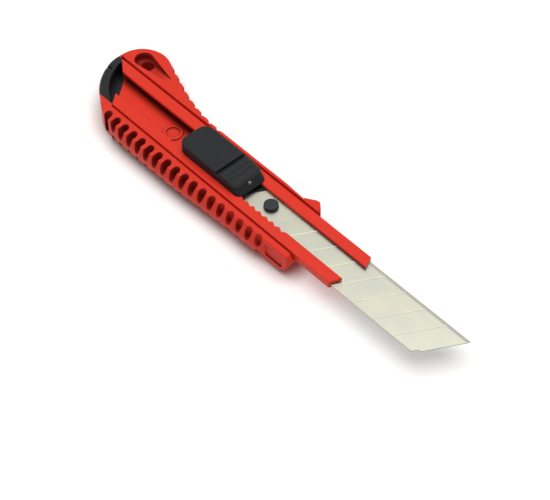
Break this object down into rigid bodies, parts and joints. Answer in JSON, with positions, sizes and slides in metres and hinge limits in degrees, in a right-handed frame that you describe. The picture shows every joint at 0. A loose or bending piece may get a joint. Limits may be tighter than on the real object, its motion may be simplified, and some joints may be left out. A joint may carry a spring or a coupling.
{
  "type": "snap-off utility knife",
  "caption": "Utility knife with a moulded grooved handle, a click-stop thumb slide in a slotted rail, a scored snap-off blade, a pull-off end cap and a hang hole.",
  "frame": {"origin": "on the flat back face of the handle, on the centreline of the blade rail", "axes": "+X towards the blade's tip, +Y towards the cutting edge, the finger guard and the hang hole, +Z towards the thumb slide"},
  "size_m": [0.1943, 0.04, 0.0169],
  "materials": {
    "handle_plastic": "orange-red moulded ABS, satin gloss",
    "black_plastic": "black moulded ABS, fine satin",
    "dark_steel": "blackened spring steel",
    "blade_steel": "ground carbon steel, bright"
  },
  "bodies": {
    "handle": {"handle_shell": "handle_plastic", "blade_rail": "handle_plastic"},
    "cap": {"end_cap": "black_plastic"},
    "slide": {"slide_carrier": "black_plastic", "thumb_slide": "black_plastic", "blade_holder": "dark_steel", "blade_stud": "dark_steel", "lock_spring": "dark_steel", "slide_pin": "blade_steel", "blade": "blade_steel"}
  },
  "joints": [
    {"name": "slide_travel", "type": "slide", "parent": "handle", "child": "slide", "axis": [1, 0, 0], "range_m": [-0.0516, 0.03096], "deforming": ["lock_spring"]},
    {"name": "cap_pull", "type": "slide", "parent": "handle", "child": "cap", "axis": [-1, 0, 0], "range_m": [0, 0.012]}
  ]
}
